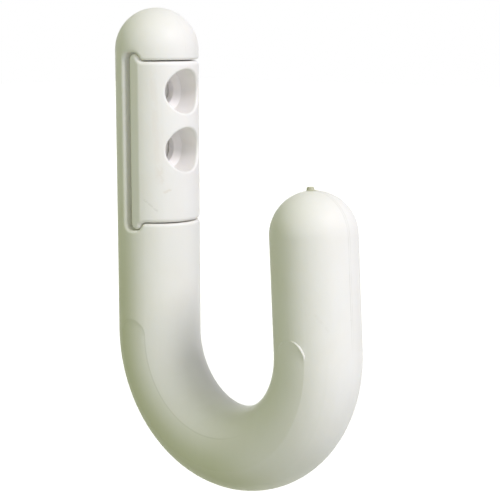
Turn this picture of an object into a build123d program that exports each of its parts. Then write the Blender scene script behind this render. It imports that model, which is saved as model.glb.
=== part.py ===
from build123d import *
from math import asin, cos, degrees, hypot, radians, sin, sqrt
import os

# Coat hook of thick round rod bent to a J, with a screwed block let into the front of its back leg.
# The wall face is the plane y = 0, the front of the hook is -Y and up is +Z.
# The origin lies on the wall face, midway between the two screw holes.

# Rod and its bend
rod_radius = 10.0
axis_to_wall = 9.0  # rod axis to the flat back that sits on the wall
bend_radius = 25.2  # centreline of the bend
front_lean = 3.0  # degrees by which the front leg leans back towards the wall
front_leg_length = 26.4  # bend to the centre of the round tip
bend_drop = 51.5  # start of the bend below the middle of the screw holes
dome_margin = 0.5  # plain round rod between the upper ear and the domed top

# Block let into the front half of the back leg
block_height = 38.0
head_margin = 1.9  # block above the recess for the upper screw head
flat_inset = 0.47  # from the rod's side in to each flat side of the block
ear_radius = 1.45  # round ears on the block's back corners, which key its ends into the body
ear_rise = 0.35  # centre of each ear beyond the block's end
crease_round = 1.5  # where a flat side meets the round front
fit_gap = 0.3  # all round between block and body
block_edge_round = 0.9
recess_edge_round = 0.75
nose_spare = 0.05  # the body's nose beside each ear is this much rounder than its rounded edge needs
groove_depth = 1.1  # grooves along both sides of the recess floor, below the seat between them
groove_reach = 3.0  # from the rod's side in to a groove's inner wall

# Screw holes
screw_spacing = 13.8
screw_radius = 2.75
block_bore_radius = 3.8
head_radius = 5.2
head_seat_depth = 3.0  # mouth of the conical seat in front of the rod axis
seat_angle = 90.0
rim_round = 0.5

# Band along each flank of the bend, where the rod is slightly flatter
band_width = 7.5
band_inset = 0.25  # middle of the band inside the rod's centreline
band_rise = 0.35  # centre of its front end above the bend
band_section_radius = 13.0

# Low crescent ridge round the upper front corner of each band's front end
ridge_radius = 0.34
ridge_height = 0.2
ridge_sink = 0.1  # its crest is this deep in the rod at both its ends
ridge_crest = 55.0  # degrees round the band's end, from the front, at which it is highest
ridge_spread = 65.0  # degrees from there to each of its ends

# Moulding stub on the tip
stub_radius = 0.85
stub_height = 0.75
stub_inset = 0.5  # from the leg's axis towards the wall
stub_round = 0.3  # rounded top edge
stub_flare = 0.4  # hollow round into the tip

axis_y = -axis_to_wall
block_top = screw_spacing / 2 + head_radius + head_margin
block_middle = block_top - block_height / 2
block_width = 2 * (rod_radius - flat_inset)
ear_span = block_height + 2 * ear_rise
pocket_radius = ear_radius + fit_gap
dome_rise = block_top + ear_rise + pocket_radius + dome_margin
leg_length = bend_drop + dome_rise
bend_sweep = 180.0 + front_lean
nose_radius = recess_edge_round / (1 - (ear_radius + pocket_radius) / rod_radius) + nose_spare
clear_of_rod = 2 * rod_radius
surface_tolerance = 0.01

bend_centre = Vector(0, axis_y - bend_radius, -bend_drop)
front_direction = Vector(0, sin(radians(front_lean)), cos(radians(front_lean)))
away_from_wall = Vector(0, -front_direction.Z, front_direction.Y)
front_start = bend_centre + away_from_wall * bend_radius
front_plane = Plane(origin=front_start, x_dir=away_from_wall, z_dir=front_direction)
tip_centre = front_start + front_direction * front_leg_length

leg_foot_plane = Plane(origin=(0, axis_y, -bend_drop), x_dir=(0, 1, 0), z_dir=(0, 0, 1))
side_plane = Plane(origin=(0, axis_y, 0), x_dir=(0, 1, 0), z_dir=(1, 0, 0))
head_seat_plane = Plane(origin=(0, axis_y - head_seat_depth, 0), x_dir=(1, 0, 0), z_dir=(0, -1, 0))


def j_bar(section):
    """A bar of the given section that follows the J: back leg, bend and front leg, with flat ends."""
    with BuildPart() as bar:
        with BuildSketch(leg_foot_plane):
            add(section)
        extrude(amount=leg_length)
        with BuildSketch(leg_foot_plane):
            add(section)
        revolve(axis=Axis(bend_centre, (-1, 0, 0)), revolution_arc=bend_sweep)
        with BuildSketch(front_plane):
            add(section)
        extrude(amount=front_leg_length)
    return bar.part


def on_band_end(turn, depth):
    """The point at a turn round the band's front end, in degrees from the front, and a depth under the flank."""
    ahead = cos(radians(turn)) * band_width / 2 - band_inset
    above = sin(radians(turn)) * band_width / 2 + band_rise
    aside = sqrt(rod_radius**2 - ahead**2) - depth
    return front_start + away_from_wall * ahead + front_direction * above - Vector(aside, 0, 0)


def on_rod_surface(edge):
    """Whether the middle of an edge lies on the round surface of the back leg."""
    middle = edge @ 0.5
    return hypot(middle.X, middle.Y - axis_y) > rod_radius - surface_tolerance


# Section of the rod where its flanks are flatter: each flank is an arc through the band's two long edges
outer_turn = asin((band_width / 2 - band_inset) / rod_radius)
inner_turn = asin((band_width / 2 + band_inset) / rod_radius)
half_chord = rod_radius * sin((outer_turn + inner_turn) / 2)
flank_turn = (inner_turn - outer_turn) / 2
flank_centre = sqrt(band_section_radius**2 - half_chord**2) - sqrt(rod_radius**2 - half_chord**2)
flank_x = flank_centre * sin(flank_turn)
flank_y = flank_centre * cos(flank_turn)
with BuildSketch() as flat_flanks:
    with Locations((flank_x, flank_y)):
        Circle(band_section_radius)
    with Locations((flank_x, -flank_y)):
        Circle(band_section_radius, mode=Mode.INTERSECT)

# Side view of the block: a tall rectangle in front of the rod axis with a round ear on each back corner
with BuildSketch(side_plane) as block_outline:
    with Locations((-clear_of_rod / 2, block_middle)):
        Rectangle(clear_of_rod, block_height)
    with Locations((-ear_radius / 2, block_middle)):
        Rectangle(ear_radius, ear_span)
    with Locations((-ear_radius, block_middle)):
        with GridLocations(0, ear_span, 1, 2):
            Circle(ear_radius)
    ear_roots = block_outline.vertices().group_by(Axis.X)[1]
    fillet(ear_roots, radius=nose_radius + fit_gap)

# The recess is the same outline grown by the gap, with a groove along each side of its floor
with BuildPart() as recess:
    with BuildSketch(side_plane):
        add(block_outline.sketch_local)
        offset(amount=fit_gap)
    extrude(amount=clear_of_rod, both=True)
    with BuildSketch(side_plane.offset(rod_radius - groove_reach)):
        with Locations((groove_depth / 2 - ear_radius, block_middle)):
            Rectangle(groove_depth, ear_span + 2 * pocket_radius)
        with Locations((-ear_radius, block_middle), (groove_depth - ear_radius, block_middle)):
            SlotCenterToCenter(ear_span, 2 * pocket_radius, rotation=90)
    extrude(amount=clear_of_rod - rod_radius + groove_reach)
    mirror(about=Plane.YZ)

# What the bands take off the rod: a slot with round ends along the bend, outside the flatter section
band_turn = bend_sweep + degrees(band_rise / bend_radius)
with BuildPart() as band_cut:
    with BuildSketch(side_plane):
        with BuildLine(mode=Mode.PRIVATE) as band_line:
            CenterArc((-bend_radius, -bend_drop), bend_radius - band_inset, 0, -band_turn)
        SlotArc(band_line.wire(), band_width)
    extrude(amount=clear_of_rod, both=True)
    add(j_bar(flat_flanks.sketch), mode=Mode.SUBTRACT)

# Crescent ridge on the left flank, and its mirror image on the right one
with BuildPart() as ridges:
    with BuildLine() as ridge_line:
        ThreePointArc(
            on_band_end(ridge_crest - ridge_spread, ridge_radius + ridge_sink),
            on_band_end(ridge_crest, ridge_radius - ridge_height),
            on_band_end(ridge_crest + ridge_spread, ridge_radius + ridge_sink),
        )
    with BuildSketch(Plane(ridge_line.line @ 0, z_dir=ridge_line.line % 0)):
        Circle(ridge_radius)
    sweep()
    mirror(about=Plane.YZ)

# Hook body
with BuildSketch() as round_section:
    Circle(rod_radius)

with BuildPart() as hook_body:
    add(j_bar(round_section.sketch))
    with Locations((0, axis_y, dome_rise)):
        Sphere(rod_radius, rotation=(0, 0, 90))
    with Locations(tip_centre):
        Sphere(rod_radius, rotation=(0, 90, 0))
    split(bisect_by=Plane.XZ, keep=Keep.TOP)
    add(recess.part, mode=Mode.SUBTRACT)
    recess_rim = hook_body.edges(Select.LAST).filter_by(on_rod_surface)
    fillet(recess_rim, radius=recess_edge_round)
    with Locations(head_seat_plane):
        with GridLocations(0, screw_spacing, 1, 2):
            Hole(screw_radius)
    add(band_cut.part, mode=Mode.SUBTRACT)
    add(ridges.part)
    with BuildSketch(Plane(tip_centre, x_dir=(1, 0, 0), z_dir=front_direction)):
        with Locations((0, stub_inset)):
            Circle(stub_radius)
    extrude(amount=rod_radius + stub_height)
    stub_edges = hook_body.edges(Select.LAST).filter_by(GeomType.LINE, reverse=True)
    stub_base, stub_top = stub_edges.sort_by(Axis(tip_centre, front_direction))
    fillet(stub_base, radius=stub_flare)
    fillet(stub_top, radius=stub_round)

# Fixing block: the front half of the rod with flat sides, cut to its outline
with BuildPart() as fixing_block:
    with BuildSketch(Plane((0, axis_y, block_middle))) as block_section:
        Circle(rod_radius)
        with Locations((0, -clear_of_rod / 2)):
            Rectangle(block_width, clear_of_rod, mode=Mode.INTERSECT)
        creases = block_section.vertices().group_by(Axis.Y)[0]
        fillet(creases, radius=crease_round)
    extrude(amount=block_height, both=True)
    extrude(block_outline.sketch, amount=clear_of_rod, both=True, mode=Mode.INTERSECT)
    outline_edges = fixing_block.edges().filter_by(Axis.X, reverse=True)
    upright_edges = outline_edges.filter_by(Axis.Z)
    crease_edges = upright_edges.filter_by_position(Axis.Y, axis_y - rod_radius, axis_y - crease_round)
    fillet(outline_edges - crease_edges, radius=block_edge_round)
    with Locations(head_seat_plane):
        with GridLocations(0, screw_spacing, 1, 2):
            CounterSinkHole(block_bore_radius, head_radius, counter_sink_angle=seat_angle)
    rims = fixing_block.edges(Select.LAST).group_by(Axis.Y)[0]
    fillet(rims, radius=rim_round)

os.makedirs("parts", exist_ok=True)

hook_body.part.label = "hook_body"
export_step(hook_body.part, "parts/hook_body.step")

fixing_block.part.label = "fixing_block"
export_step(fixing_block.part, "parts/fixing_block.step")
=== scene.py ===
import math
import bmesh
import bpy
from mathutils import Matrix, Vector


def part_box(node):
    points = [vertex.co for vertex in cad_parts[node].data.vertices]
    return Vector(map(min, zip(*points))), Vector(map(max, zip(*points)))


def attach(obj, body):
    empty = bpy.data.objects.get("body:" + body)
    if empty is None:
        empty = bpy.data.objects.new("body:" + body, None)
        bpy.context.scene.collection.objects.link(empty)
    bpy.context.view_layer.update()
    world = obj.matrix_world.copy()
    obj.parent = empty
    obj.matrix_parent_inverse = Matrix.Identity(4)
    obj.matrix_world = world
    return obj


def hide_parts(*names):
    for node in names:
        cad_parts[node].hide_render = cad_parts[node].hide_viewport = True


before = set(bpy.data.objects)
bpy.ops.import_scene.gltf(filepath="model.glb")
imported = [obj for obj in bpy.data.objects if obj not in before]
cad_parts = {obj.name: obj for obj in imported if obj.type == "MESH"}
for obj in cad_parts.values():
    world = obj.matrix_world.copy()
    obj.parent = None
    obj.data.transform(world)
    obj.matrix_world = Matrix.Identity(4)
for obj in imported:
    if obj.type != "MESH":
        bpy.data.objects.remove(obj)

scene = bpy.context.scene
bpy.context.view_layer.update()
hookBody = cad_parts["hook_body"]
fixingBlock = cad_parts["fixing_block"]
bodyLow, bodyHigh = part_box("hook_body")
blockLow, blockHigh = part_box("fixing_block")
print("frame loaded:", sorted(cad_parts))

# Lengths are in metres. The rod, the axes of its legs and its bend follow from the boxes of the two nodes.
mm = 0.001
rodRadius = (bodyHigh[0] - bodyLow[0]) / 2
backLegY = blockLow[1] + rodRadius
frontLegY = bodyLow[1] + rodRadius
bendRadius = (backLegY - frontLegY) / 2
bendY = backLegY - bendRadius
bendZ = bodyLow[2] + rodRadius + bendRadius

# Camera, at the photograph's viewing angle: left of the hook's front, a little above it, with a slight roll
cameraSetup = {
    "aimAt": (0.01697, -0.02359, -0.03244),
    "azimuth": -48.0,
    "elevation": 8.49,
    "roll": 0.15,
    "distance": 0.3714,
    "lensMm": 108.5,
    "clip": (0.01, 20.0),
}


def directionFrom(azimuth, elevation):
    # unit vector at an azimuth, from the front towards the hook's right, and an elevation, in degrees
    a = math.radians(azimuth)
    e = math.radians(elevation)
    return Vector((math.sin(a) * math.cos(e), -math.cos(a) * math.cos(e), math.sin(e)))


def makeCamera(p):
    azimuth = math.radians(p["azimuth"])
    roll = math.radians(p["roll"])
    forward = -directionFrom(p["azimuth"], p["elevation"])
    right = Vector((math.cos(azimuth), math.sin(azimuth), 0.0))
    up = right.cross(forward)
    rolledRight = right * math.cos(roll) - up * math.sin(roll)
    rolledUp = up * math.cos(roll) + right * math.sin(roll)
    camera = bpy.data.objects.new("camera", bpy.data.cameras.new("camera"))
    camera.data.lens = p["lensMm"]
    camera.data.clip_start, camera.data.clip_end = p["clip"]
    turn = Matrix((rolledRight, rolledUp, -forward)).transposed().to_4x4()
    camera.matrix_world = Matrix.Translation(Vector(p["aimAt"]) - forward * p["distance"]) @ turn
    scene.collection.objects.link(camera)
    scene.camera = camera


makeCamera(cameraSetup)
print("camera placed")

# Shader helpers


def feed(tree, socket, value):
    # links another node's output, or sets a plain value
    if isinstance(value, bpy.types.NodeSocket):
        tree.links.new(value, socket)
    else:
        socket.default_value = value


def addNode(tree, kind, values=None, **settings):
    # values goes to the node's inputs, by name or number
    node = tree.nodes.new("ShaderNode" + kind)
    for name, value in settings.items():
        setattr(node, name, value)
    for socket, value in (values or {}).items():
        feed(tree, node.inputs[socket], value)
    return node


def calc(tree, operation, *values, clamp=False):
    node = addNode(tree, "Math", dict(enumerate(values)), operation=operation, use_clamp=clamp)
    return node.outputs["Value"]


def product(tree, *values):
    result = values[0]
    for value in values[1:]:
        result = calc(tree, "MULTIPLY", result, value)
    return result


def vectorCalc(tree, operation, *values):
    outputs = addNode(tree, "VectorMath", dict(enumerate(values)), operation=operation).outputs
    return outputs["Value" if operation in ("LENGTH", "DISTANCE", "DOT_PRODUCT") else "Vector"]


def remap(tree, value, fromMin, fromMax, toMin=0.0, toMax=1.0):
    # smooth step from one range to another, clamped at both ends
    values = {"Value": value, "From Min": fromMin, "From Max": fromMax, "To Min": toMin, "To Max": toMax}
    return addNode(tree, "MapRange", values, interpolation_type="SMOOTHSTEP").outputs["Result"]


def mixColour(tree, factor, first, second, blend="MIX"):
    # a colour mix takes its factor and its two colours at sockets 0, 6 and 7, and gives its colour at 2
    values = {0: factor, 6: first, 7: second}
    return addNode(tree, "Mix", values, data_type="RGBA", blend_type=blend).outputs[2]


def noise(tree, vector, scale, detail=2.0, roughness=0.5, distortion=0.0):
    values = {"Vector": vector, "Scale": scale, "Detail": detail, "Roughness": roughness}
    values["Distortion"] = distortion
    return addNode(tree, "TexNoise", values).outputs["Fac"]


def flatVector(tree, x, y):
    return addNode(tree, "CombineXYZ", {"X": x, "Y": y}).outputs["Vector"]


def newGroup(name, inputs, outputs):
    # inputs are (name, kind, default), outputs are (name, kind), with kind Float, Vector or Color
    tree = bpy.data.node_groups.new(name, "ShaderNodeTree")
    for label, kind, default in inputs:
        socket = tree.interface.new_socket(label, in_out="INPUT", socket_type="NodeSocket" + kind)
        socket.default_value = default
    for label, kind in outputs:
        tree.interface.new_socket(label, in_out="OUTPUT", socket_type="NodeSocket" + kind)
    return tree, tree.nodes.new("NodeGroupInput").outputs, tree.nodes.new("NodeGroupOutput").inputs


def useGroup(tree, group, values):
    return addNode(tree, "Group", values, node_tree=group).outputs


# Shared effects. Scales of noise are features per metre.
skinGrain = {
    "flowStretch": (1.0, 1.0, 0.22),  # flow streaks are drawn out upwards
    "flowScale": 420.0,
    "flowDepth": 0.03,
    "speckScale": 260.0,
    "speckShare": 0.1,  # share of the cells that hold a speck
    "speckSize": (0.02, 0.055),  # solid core and faded rim, in cells
    "speckTone": (0.42, 0.36, 0.27, 1),
    "roughScale": 240.0,
    "peelScale": 380.0,
    "grainScale": 2600.0,
}


def makeMouldedSkin(p):
    # moulded plastic: soft clouds of tint, faint flow streaks, rare specks, orange peel and a fine grain
    tree, given, out = newGroup(
        "mouldedSkin",
        [
            ("Vector", "Vector", (0, 0, 0)),
            ("Base", "Color", (0.8, 0.8, 0.8, 1)),
            ("Cloud", "Color", (0.8, 0.8, 0.8, 1)),
            ("Cloud Amount", "Float", 0.5),
            ("Cloud Scale", "Float", 60.0),
            ("Speck Amount", "Float", 0.3),
            ("Roughness", "Float", 0.4),
            ("Roughness Swing", "Float", 0.1),
            ("Grain Amount", "Float", 0.3),
        ],
        [("Colour", "Color"), ("Roughness", "Float"), ("Height", "Float")],
    )
    here = given["Vector"]
    clouds = noise(tree, here, given["Cloud Scale"], detail=3.0, roughness=0.55)
    tint = product(tree, remap(tree, clouds, 0.38, 0.66), given["Cloud Amount"])
    colour = mixColour(tree, tint, given["Base"], given["Cloud"])
    drawn = addNode(tree, "Mapping", {"Vector": here, "Scale": p["flowStretch"]}).outputs["Vector"]
    streaks = noise(tree, drawn, p["flowScale"], detail=3.0, roughness=0.6, distortion=0.4)
    streaks = calc(tree, "MULTIPLY_ADD", streaks, p["flowDepth"], 1.0 - p["flowDepth"] / 2)
    colour = mixColour(tree, 1.0, colour, streaks, "MULTIPLY")

    cells = addNode(tree, "TexVoronoi", {"Vector": here, "Scale": p["speckScale"]}).outputs
    draw = addNode(tree, "SeparateColor", {0: cells["Color"]}).outputs[0]
    rare = calc(tree, "GREATER_THAN", draw, 1.0 - p["speckShare"])
    spot = remap(tree, cells["Distance"], *p["speckSize"], 1.0, 0.0)
    speck = product(tree, rare, spot, given["Speck Amount"])
    colour = mixColour(tree, speck, colour, p["speckTone"])

    rough = calc(tree, "SUBTRACT", noise(tree, here, p["roughScale"], detail=3.0), 0.5)
    rough = calc(tree, "MULTIPLY_ADD", rough, given["Roughness Swing"], given["Roughness"])
    peel = noise(tree, here, p["peelScale"], detail=1.0)
    height = calc(tree, "MULTIPLY_ADD", noise(tree, here, p["grainScale"]), given["Grain Amount"], peel)
    feed(tree, out["Colour"], colour)
    feed(tree, out["Roughness"], rough)
    feed(tree, out["Height"], height)
    return tree


def makeLegWrap():
    # unrolls the round of an upright leg: arc length from its front, towards the hook's right, and height
    tree, given, out = newGroup(
        "legWrap",
        [("Vector", "Vector", (0, 0, 0)), ("Axis Y", "Float", 0.0), ("Radius", "Float", 0.01)],
        [("Vector", "Vector")],
    )
    place = addNode(tree, "SeparateXYZ", {"Vector": given["Vector"]}).outputs
    ahead = calc(tree, "SUBTRACT", given["Axis Y"], place["Y"])
    arc = product(tree, calc(tree, "ARCTAN2", place["X"], ahead), given["Radius"])
    feed(tree, out["Vector"], flatVector(tree, arc, place["Z"]))
    return tree


def makeScuff():
    # a rubbed stroke from Start to End on unrolled coordinates, with soft sides and broken by noise
    tree, given, out = newGroup(
        "scuff",
        [
            ("Vector", "Vector", (0, 0, 0)),
            ("Start", "Vector", (0, 0, 0)),
            ("End", "Vector", (0, 0, 0)),
            ("Width", "Float", 0.0003),
            ("Break Scale", "Float", 900.0),
            ("Strength", "Float", 0.5),
        ],
        [("Mask", "Float")],
    )
    fromStart = vectorCalc(tree, "SUBTRACT", given["Vector"], given["Start"])
    run = vectorCalc(tree, "SUBTRACT", given["End"], given["Start"])
    along = vectorCalc(tree, "DOT_PRODUCT", fromStart, run)
    square = vectorCalc(tree, "DOT_PRODUCT", run, run)
    share = calc(tree, "DIVIDE", along, square, clamp=True)
    onLine = addNode(tree, "VectorMath", {0: run, "Scale": share}, operation="SCALE").outputs["Vector"]
    aside = vectorCalc(tree, "DISTANCE", fromStart, onLine)
    near = remap(tree, calc(tree, "DIVIDE", aside, given["Width"]), 0.25, 1.0, 1.0, 0.0)
    broken = remap(tree, noise(tree, given["Vector"], given["Break Scale"], detail=3.0), 0.36, 0.56)
    mask = calc(tree, "MULTIPLY", product(tree, near, broken), given["Strength"], clamp=True)
    feed(tree, out["Mask"], mask)
    return tree


def makeCrevice():
    # how deep a point lies in a gap or hollow, and how near it is to an outer edge, by rays out and in
    tree, given, out = newGroup(
        "crevice",
        [("Gap Reach", "Float", 0.002), ("Edge Reach", "Float", 0.0008)],
        [("Gap", "Float"), ("Edge", "Float")],
    )
    outward = addNode(tree, "AmbientOcclusion", {"Distance": given["Gap Reach"]}, samples=16)
    inward = addNode(tree, "AmbientOcclusion", {"Distance": given["Edge Reach"]}, samples=16, inside=True)
    feed(tree, out["Gap"], remap(tree, outward.outputs["AO"], 0.1, 0.85, 1.0, 0.0))
    feed(tree, out["Edge"], remap(tree, inward.outputs["AO"], 0.3, 0.9))
    return tree


mouldedSkin = makeMouldedSkin(skinGrain)
legWrap = makeLegWrap()
scuff = makeScuff()
crevice = makeCrevice()
print("shared effects built: mouldedSkin, legWrap, scuff, crevice")


def newMaterial(name):
    material = bpy.data.materials.new(name)
    material.use_nodes = True
    tree = material.node_tree
    here = addNode(tree, "TexCoord").outputs["Object"]
    return material, tree, tree.nodes["Principled BSDF"], here


def addSkin(tree, here, p):
    return useGroup(tree, mouldedSkin, {
        "Vector": here,
        "Base": p["base"],
        "Cloud": p["cloud"],
        "Cloud Amount": p["cloudAmount"],
        "Cloud Scale": p["cloudScale"],
        "Speck Amount": p["speckAmount"],
        "Roughness": p["roughness"],
        "Roughness Swing": p["roughnessSwing"],
        "Grain Amount": p["grainAmount"],
    })


def addScuffs(tree, colour, here, axisY, marks):
    # each mark darkens the colour along its stroke; returns the colour and the strongest mask
    flat = useGroup(tree, legWrap, {"Vector": here, "Axis Y": axisY, "Radius": rodRadius})["Vector"]
    strongest = None
    for mark in marks:
        values = {
            "Vector": flat,
            "Start": [v * mm for v in mark["start"]] + [0.0],
            "End": [v * mm for v in mark["end"]] + [0.0],
            "Width": mark["width"] * mm,
            "Break Scale": mark["breakScale"],
            "Strength": mark["strength"],
        }
        mask = useGroup(tree, scuff, values)["Mask"]
        colour = mixColour(tree, mask, colour, mark["colour"])
        strongest = mask if strongest is None else calc(tree, "MAXIMUM", strongest, mask)
    return colour, strongest


def finishMaterial(tree, shader, colour, rough, height, p):
    # links what changes over a piece, and sets what is the same all over it: a low gloss, and a little light
    # that passes through the plastic
    bump = addNode(tree, "Bump", {"Height": height, "Distance": p["bumpHeight"]}).outputs["Normal"]
    inputs = {
        "Base Color": colour,
        "Roughness": rough,
        "Normal": bump,
        "Specular IOR Level": p["specular"],
        "Subsurface Weight": p["translucence"],
        "Subsurface Radius": (1.0, 0.92, 0.78),
        "Subsurface Scale": p["lightDepth"],
    }
    for name, value in inputs.items():
        feed(tree, shader.inputs[name], value)


def smoothCopy(node, name, sharpAngle):
    # A copy of a node's own mesh that stands for it. Its loose triangles are merged to one closed skin,
    # because a sliver at a pole of the tip turned the light there. Faces that meet at more than
    # sharpAngle degrees stay sharp.
    mergeDistance = 0.001 * mm
    skin = bmesh.new()
    skin.from_mesh(node.data)
    bmesh.ops.remove_doubles(skin, verts=skin.verts, dist=mergeDistance)
    bmesh.ops.dissolve_degenerate(skin, edges=skin.edges, dist=mergeDistance)
    mesh = bpy.data.meshes.new(name)
    skin.to_mesh(mesh)
    skin.free()
    if "custom_normal" in mesh.attributes:
        mesh.attributes.remove(mesh.attributes["custom_normal"])
    mesh.shade_smooth()
    mesh.set_sharp_from_angle(angle=math.radians(sharpAngle))
    piece = bpy.data.objects.new(name, mesh)
    scene.collection.objects.link(piece)
    weighted = piece.modifiers.new("weightedNormals", "WEIGHTED_NORMAL")
    weighted.keep_sharp = True
    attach(piece, "root")
    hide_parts(node.name)
    return piece


def wear(node, material):
    node.data.materials.clear()
    node.data.materials.append(material)


# Hook body: moulded skin, flash down the front leg and over the dome, edged bands with painted shade,
# painted olive shade low on the back and underside, painted light in the gaps, faint rubs
bodyFinish = {
    "sharpAngle": 35.0,
    "base": (0.85, 0.848, 0.826, 1),
    "cloud": (0.835, 0.824, 0.785, 1),
    "cloudAmount": 0.5,
    "cloudScale": 75.0,
    "speckAmount": 0.3,
    "roughness": 0.38,
    "roughnessSwing": 0.12,
    "grainAmount": 0.25,
    "specular": 0.1,
    "translucence": 0.3,
    "lightDepth": 1.2 * mm,
    "bumpHeight": 0.02 * mm,
    # a strip of flash along the mould's parting plane, x = 0
    "flashHalfWidth": 0.28 * mm,
    "flashWander": 0.3,  # in half widths
    "flashHeight": 1.5,  # over that of the orange peel
    "flashTone": (0.6, 0.6, 0.55, 1),
    "flashAmount": 0.38,
    "flashOnDome": 0.25,  # its strength there, as a share of that on the front leg
    "flashFadeY": (frontLegY - 0.1 * rodRadius, frontLegY + 0.3 * rodRadius),
    "flashFadeZ": (-52 * mm, -40 * mm),
    # rough gate mark on the tip, darker, with painted shade round it for a wider mound than the shape has,
    # by the distance from its middle seen from above
    "stubMarkAndShadeTone": (0.52, 0.52, 0.4, 1),
    "stubPlace": (0.0, -57.5 * mm, 0.0),
    "stubReach": (0.95 * mm, 1.75 * mm),
    "stubAboveZ": bodyLow[2] + 6 * rodRadius,
    # painted light: paler inside the gaps, where they would lie in shade
    "gapLightTone": (0.96, 0.94, 0.9, 1),
    "gapLightAmount": 0.75,
    "gapReach": 1.0 * mm,
    # Painted olive shade on the outer side of the back leg and the bend, darker further down, where shade
    # falls low on the hook. A depth is a distance outside the rod's centreline. A turn is 1 on the back leg,
    # 0 at the lowest point, -1 on the front leg.
    "oliveShadeTone": (0.79, 0.81, 0.64, 1),
    "oliveShadeAmount": 0.85,
    "oliveShadeDepth": (-5 * mm, 4 * mm),
    "backSideTurn": (-0.6, 0.0),
    "lowShadeZ": (-60 * mm, 10 * mm),  # full at the first height and gone at the second
    "underShadeTone": (0.74, 0.76, 0.6, 1),  # a second painted olive shade along the underside
    "underShadeAmount": 0.65,
    "underShadeDepth": (2 * mm, 8 * mm),
    "underShadeTurn": (-0.95, -0.25),
    # the band along each flank gets a painted shade, for its flatter face turned from the light, and a thin
    # painted shade line along its edge, at its step
    "flankFrom": 0.8 * rodRadius,
    "bandMiddle": -0.25 * mm,
    "bandHalfWidth": 3.75 * mm,
    "bandSoftness": 0.25 * mm,
    "bandShadeTone": (0.9, 0.91, 0.84, 1),
    "bandShadeAmount": 0.3,
    "bandLineShadeTone": (0.72, 0.73, 0.66, 1),
    "bandLineShadeAmount": 0.4,
    "bandLineOutside": 0.35,  # its share left on the band's outer edge
    # what hangs in the bend rubs its inside smoother, by the distance from the middle of the mouth
    "bowlRoughness": 0.31,
    "bowlMiddle": (0.0, bendY, bodyLow[2] + 3.5 * rodRadius),
    "bowlReach": (1.6 * rodRadius, 2.3 * rodRadius),
    # strokes as (arc length from the front, height) in mm on the round of the front leg
    "rubRoughness": 0.3,
    "rubs": (
        {
            "start": (4.5, -29.0),
            "end": (6.0, -33.0),
            "width": 0.6,
            "breakScale": 900.0,
            "strength": 0.05,
            "colour": (0.45, 0.43, 0.38, 1),
        },
        {
            "start": (-9.5, -40.0),
            "end": (-6.5, -43.5),
            "width": 0.5,
            "breakScale": 1100.0,
            "strength": 0.06,
            "colour": (0.5, 0.47, 0.4, 1),
        },
    ),
}


def addFlash(tree, colour, here, place, p):
    # a plateau across x = 0 with a thin dark line along both its sides; returns the colour and the plateau
    wander = p["flashWander"] * p["flashHalfWidth"]
    aside = calc(tree, "MULTIPLY_ADD", noise(tree, here, 160.0), wander, place["X"])
    aside = calc(tree, "DIVIDE", calc(tree, "ABSOLUTE", aside), p["flashHalfWidth"])
    plateau = remap(tree, aside, 0.75, 1.25, 1.0, 0.0)
    sideLine = calc(tree, "ABSOLUTE", calc(tree, "SUBTRACT", aside, 1.0))
    sideLine = remap(tree, sideLine, 0.1, 0.55, 1.0, 0.0)
    onFront = remap(tree, place["Y"], *p["flashFadeY"], 1.0, 0.0)
    onFront = product(tree, onFront, remap(tree, place["Z"], *p["flashFadeZ"]))
    onDome = product(tree, calc(tree, "GREATER_THAN", place["Z"], blockHigh[2]), p["flashOnDome"])
    shown = calc(tree, "MAXIMUM", onFront, onDome)
    patchy = remap(tree, noise(tree, here, 300.0), 0.3, 0.6, 0.45, 1.0)
    line = product(tree, sideLine, shown, patchy, p["flashAmount"])
    return mixColour(tree, line, colour, p["flashTone"]), product(tree, plateau, shown)


def addStubTone(tree, colour, place, p):
    # the gate mark's own colour, spread wider as a painted shade round the stub
    fromStub = vectorCalc(tree, "DISTANCE", flatVector(tree, place["X"], place["Y"]), p["stubPlace"])
    onStub = remap(tree, fromStub, *p["stubReach"], 1.0, 0.0)
    onTip = calc(tree, "GREATER_THAN", place["Z"], p["stubAboveZ"])
    return mixColour(tree, product(tree, onStub, onTip), colour, p["stubMarkAndShadeTone"])


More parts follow.
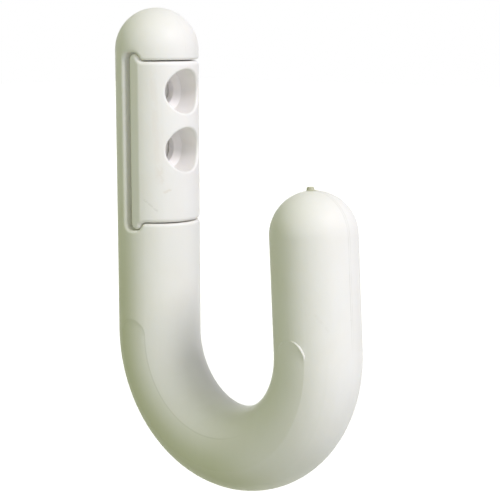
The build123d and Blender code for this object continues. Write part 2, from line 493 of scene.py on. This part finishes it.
def addPaintedShades(tree, colour, place, p):
    # painted shade: olive low on the back and underside, and on each flank's band and along its edge
    # spoke is the distance from the bend's middle seen from the side, measured level above the bend
    behind = calc(tree, "SUBTRACT", place["Y"], bendY)
    above = calc(tree, "SUBTRACT", place["Z"], bendZ)
    spoke = vectorCalc(tree, "LENGTH", flatVector(tree, behind, calc(tree, "MINIMUM", above, 0.0)))
    depth = calc(tree, "SUBTRACT", spoke, bendRadius)
    turn = calc(tree, "DIVIDE", behind, spoke)
    onBack = remap(tree, turn, *p["backSideTurn"])
    low = remap(tree, place["Z"], *p["lowShadeZ"], 1.0, 0.0)
    # painted olive shade on the outer side of the back leg and the bend, stronger further down
    lowOliveShade = product(tree, remap(tree, depth, *p["oliveShadeDepth"]), low, onBack, p["oliveShadeAmount"])
    colour = mixColour(tree, lowOliveShade, colour, p["oliveShadeTone"], "MULTIPLY")
    onUnder = remap(tree, turn, *p["underShadeTurn"])
    # painted olive shade along the underside
    under = product(tree, remap(tree, depth, *p["underShadeDepth"]), onUnder, low, p["underShadeAmount"])
    colour = mixColour(tree, under, colour, p["underShadeTone"], "MULTIPLY")

    # the band's middle line runs round the bend, and its end on the back leg is a half circle
    across = calc(tree, "SUBTRACT", depth, p["bandMiddle"])
    fromMiddle = vectorCalc(tree, "LENGTH", flatVector(tree, across, calc(tree, "MAXIMUM", above, 0.0)))
    toEdge = calc(tree, "SUBTRACT", fromMiddle, p["bandHalfWidth"])
    onFlank = calc(tree, "GREATER_THAN", calc(tree, "ABSOLUTE", place["X"]), p["flankFrom"])
    onFlank = product(tree, onFlank, onBack)
    # painted shade inside the band, and a painted shade line along its edge
    inBand = remap(tree, toEdge, -p["bandSoftness"], 0.0, p["bandShadeAmount"], 0.0)
    colour = mixColour(tree, product(tree, inBand, onFlank), colour, p["bandShadeTone"], "MULTIPLY")
    line = remap(tree, calc(tree, "ABSOLUTE", toEdge), 0.0, p["bandSoftness"], p["bandLineShadeAmount"], 0.0)
    inner = remap(tree, across, -p["bandHalfWidth"], 0.0, 1.0, p["bandLineOutside"])
    return mixColour(tree, product(tree, line, inner, onFlank), colour, p["bandLineShadeTone"], "MULTIPLY")


def makeBodyMaterial(p):
    material, tree, shader, here = newMaterial("hookBodyPlastic")
    skin = addSkin(tree, here, p)
    place = addNode(tree, "SeparateXYZ", {"Vector": here}).outputs
    colour, rubMask = addScuffs(tree, skin["Colour"], here, frontLegY, p["rubs"])
    colour, plateau = addFlash(tree, colour, here, place, p)
    colour = addStubTone(tree, colour, place, p)
    # painted light: the gaps are made paler where shade falls in them
    gap = useGroup(tree, crevice, {"Gap Reach": p["gapReach"]})["Gap"]
    colour = mixColour(tree, product(tree, gap, p["gapLightAmount"]), colour, p["gapLightTone"])
    colour = addPaintedShades(tree, colour, place, p)

    fromMouth = vectorCalc(tree, "DISTANCE", here, p["bowlMiddle"])
    bowl = remap(tree, fromMouth, *p["bowlReach"], 1.0, 0.0)
    rough = calc(tree, "MULTIPLY_ADD", bowl, p["bowlRoughness"] - p["roughness"], skin["Roughness"])
    rough = calc(tree, "MULTIPLY_ADD", rubMask, p["rubRoughness"], rough)
    height = calc(tree, "MULTIPLY_ADD", plateau, p["flashHeight"], skin["Height"])
    finishMaterial(tree, shader, colour, rough, height, p)
    return material


bodySkin = smoothCopy(hookBody, "hookBodySkin", bodyFinish["sharpAngle"])
wear(bodySkin, makeBodyMaterial(bodyFinish))
print("hook body finished")

# Fixing block: the same plastic a little warmer, with two scuffs, a faint streak, slightly smoother edges
# with a painted highlight, and painted light in the gaps and screw holes
blockFinish = {
    "base": (0.852, 0.846, 0.828, 1),
    "cloud": (0.835, 0.80, 0.765, 1),
    "cloudAmount": 0.6,
    "cloudScale": 130.0,
    "speckAmount": 0.35,
    "roughness": 0.41,
    "roughnessSwing": 0.14,
    "grainAmount": 0.3,
    "specular": 0.1,
    "translucence": 0.3,
    "lightDepth": 1.2 * mm,
    "bumpHeight": 0.025 * mm,
    "gapLightTone": (0.96, 0.94, 0.9, 1),  # painted light: paler inside the gaps, where they would lie in shade
    "gapLightAmount": 0.75,
    "gapReach": 0.8 * mm,
    "holeLightTone": (0.97, 0.925, 0.9, 1),  # painted light: paler and warmer inside the screw holes, where shade falls
    "holeDepth": (0.5 * mm, 1.2 * mm),  # it sets in between these depths below the round front
    # a painted highlight along the outer edges, which are also a little smoother
    "edgeHighlightTone": (0.88, 0.878, 0.865, 1),
    "edgeHighlightAmount": 0.6,
    "edgeRoughness": -0.06,
    # strokes as (arc length from the front, height) in mm on the block's round front
    "scuffRoughness": 0.25,
    "scuffDepth": 2.0,  # over the height of the orange peel
    "scuffs": (
        {
            "start": (-11.3, -18.6),
            "end": (-8.2, -21.2),
            "width": 0.4,
            "breakScale": 1300.0,
            "strength": 0.34,
            "colour": (0.42, 0.42, 0.38, 1),
        },
        {
            "start": (-6.7, -17.0),
            "end": (-5.0, -16.2),
            "width": 0.5,
            "breakScale": 900.0,
            "strength": 0.4,
            "colour": (0.55, 0.43, 0.31, 1),
        },
        {
            "start": (-8.97, 12.0),
            "end": (-7.87, -14.0),
            "width": 1.2,
            "breakScale": 260.0,
            "strength": 0.22,
            "colour": (0.74, 0.6, 0.5, 1),
        },
        {
            "start": (-7.4, -10.8),
            "end": (-7.0, -14.2),
            "width": 0.9,
            "breakScale": 700.0,
            "strength": 0.26,
            "colour": (0.66, 0.52, 0.4, 1),
        },
    ),
}


def makeBlockMaterial(p):
    material, tree, shader, here = newMaterial("fixingBlockPlastic")
    skin = addSkin(tree, here, p)
    colour, scuffMask = addScuffs(tree, skin["Colour"], here, backLegY, p["scuffs"])
    # painted light inside the screw holes: paler and warmer where the surface lies below the round front
    level = addNode(tree, "Mapping", {"Vector": here, "Location": (0, -backLegY, 0), "Scale": (1, 1, 0)})
    fromAxis = vectorCalc(tree, "LENGTH", level.outputs["Vector"])
    shallow, deep = p["holeDepth"]
    inHole = remap(tree, fromAxis, rodRadius - shallow, rodRadius - deep)
    colour = mixColour(tree, inHole, colour, p["holeLightTone"])
    found = useGroup(tree, crevice, {"Gap Reach": p["gapReach"]})
    # painted highlight along the outer edges
    colour = mixColour(tree, product(tree, found["Edge"], p["edgeHighlightAmount"]), colour, p["edgeHighlightTone"])
    # painted light: the gaps are made paler where shade falls in them
    colour = mixColour(tree, product(tree, found["Gap"], p["gapLightAmount"]), colour, p["gapLightTone"])
    rough = calc(tree, "MULTIPLY_ADD", scuffMask, p["scuffRoughness"], skin["Roughness"])
    rough = calc(tree, "MULTIPLY_ADD", found["Edge"], p["edgeRoughness"], rough)
    height = calc(tree, "MULTIPLY_ADD", scuffMask, -p["scuffDepth"], skin["Height"])
    finishMaterial(tree, shader, colour, rough, height, p)
    return material


wear(fixingBlock, makeBlockMaterial(blockFinish))
print("fixing block finished")

# Studio: a soft key from the front and above, and a world of soft glows. Camera and mirror rays see white.
studio = {
    "keyAzimuth": 0.5,
    "keyElevation": 43.0,
    "keyDistance": 0.9,
    "keySize": 0.3,
    "keyWatts": 5.1,
    "keyColour": (0.98, 0.95, 0.985),
    # glows as (direction, colour, power of the fall-off away from that direction)
    "glows": (
        ((-1, -1, 1), (0.36, 0.335, 0.395), 4.0),
        ((-1, -1, -1), (0.42, 0.43, 0.335), 4.0),
        ((-1, 0, 1), (0.06, 0.055, 0.07), 6.0),
        ((-1, 1, 1), (0.12, 0.155, 0.0), 4.0),
        ((1, -1, -1), (0.19, 0.21, 0.14), 4.0),
        ((-1, 0, 0), (0.06, 0.09, 0.0), 4.0),
        ((0, -1, 0), (0.265, 0.258, 0.39), 4.0),
        ((0, -1, -1), (0.18, 0.18, 0.18), 9.0),
        ((0, 1, 0), (0.13, 0.14, 0.07), 4.0),
        ((0, 0, 1), (0.09, 0.11, 0.02), 4.0),
        ((1, 0, 0), (0.08, 0.08, 0.05), 4.0),
        ((1, 1, 0.3), (0.62, 0.57, 0.8), 9.0),
    ),
    "floorDrop": 0.05,
    "floorHalfSize": 3.0,
    "floorColour": (0.8, 0.8, 0.79, 1),
    "nearGlow": 0.62,  # what camera, glossy and transmission rays see of the floor besides its own light,
    "farGlow": 0.85,  # near the hook and far from it, where the key is weaker
    "glowReach": (0.1, 0.7),
}


def makeKey(p):
    lamp = bpy.data.lights.new("keySoftbox", "AREA")
    lamp.shape = "DISK"
    lamp.size = p["keySize"]
    lamp.energy = p["keyWatts"]
    lamp.color = p["keyColour"]
    towards = directionFrom(p["keyAzimuth"], p["keyElevation"])
    middle = Vector((0.0, bendY, (bodyLow[2] + bodyHigh[2]) / 2))
    holder = bpy.data.objects.new("keySoftbox", lamp)
    turn = towards.to_track_quat("Z", "Y").to_matrix().to_4x4()
    holder.matrix_world = Matrix.Translation(middle + towards * p["keyDistance"]) @ turn
    scene.collection.objects.link(holder)


def seenDirectly(tree):
    # 1 for camera, glossy and transmission rays, 0 for the rays that light the object
    ray = addNode(tree, "LightPath").outputs
    seen = calc(tree, "MAXIMUM", ray["Is Camera Ray"], ray["Is Glossy Ray"])
    return calc(tree, "MAXIMUM", seen, ray["Is Transmission Ray"])


def makeWorld(p):
    # a glow's level is a power of (1 + cosine of the angle from its direction) / 2
    world = bpy.data.worlds.new("studio")
    scene.world = world
    world.use_nodes = True
    tree = world.node_tree
    towards = addNode(tree, "TexCoord").outputs["Generated"]
    light = (0.0, 0.0, 0.0, 1.0)
    for direction, glow, fallOff in p["glows"]:
        facing = vectorCalc(tree, "DOT_PRODUCT", towards, Vector(direction).normalized())
        half = calc(tree, "MULTIPLY_ADD", facing, 0.5, 0.5, clamp=True)
        tinted = mixColour(tree, calc(tree, "POWER", half, fallOff), (0, 0, 0, 1), (*glow, 1))
        light = mixColour(tree, 1.0, light, tinted, "ADD")
    seen = mixColour(tree, seenDirectly(tree), light, (1, 1, 1, 1))
    feed(tree, tree.nodes["Background"].inputs["Color"], seen)


def makeFloor(p):
    size = p["floorHalfSize"]
    height = bodyLow[2] - p["floorDrop"]
    corners = [(-size, -size, height), (size, -size, height), (size, size, height), (-size, size, height)]
    mesh = bpy.data.meshes.new("floor")
    mesh.from_pydata(corners, [], [(0, 1, 2, 3)])
    floor = bpy.data.objects.new("floor", mesh)
    scene.collection.objects.link(floor)
    material, tree, shader, here = newMaterial("paleFloor")
    tone = remap(tree, noise(tree, here, 3.0), 0.3, 0.7, 0.97, 1.0)
    away = vectorCalc(tree, "LENGTH", here)
    level = remap(tree, away, *p["glowReach"], p["nearGlow"], p["farGlow"])
    inputs = {
        "Base Color": mixColour(tree, 1.0, p["floorColour"], tone, "MULTIPLY"),
        "Roughness": 0.9,
        "Specular IOR Level": 0.0,
        "Emission Color": (1, 1, 1, 1),
        "Emission Strength": product(tree, seenDirectly(tree), level),
    }
    for name, value in inputs.items():
        feed(tree, shader.inputs[name], value)
    mesh.materials.append(material)
    floor.visible_diffuse = False  # the glows from below reach the hook
    floor.visible_shadow = False


makeKey(studio)
makeWorld(studio)
makeFloor(studio)
print("studio lit")

scene.view_settings.view_transform = "Standard"
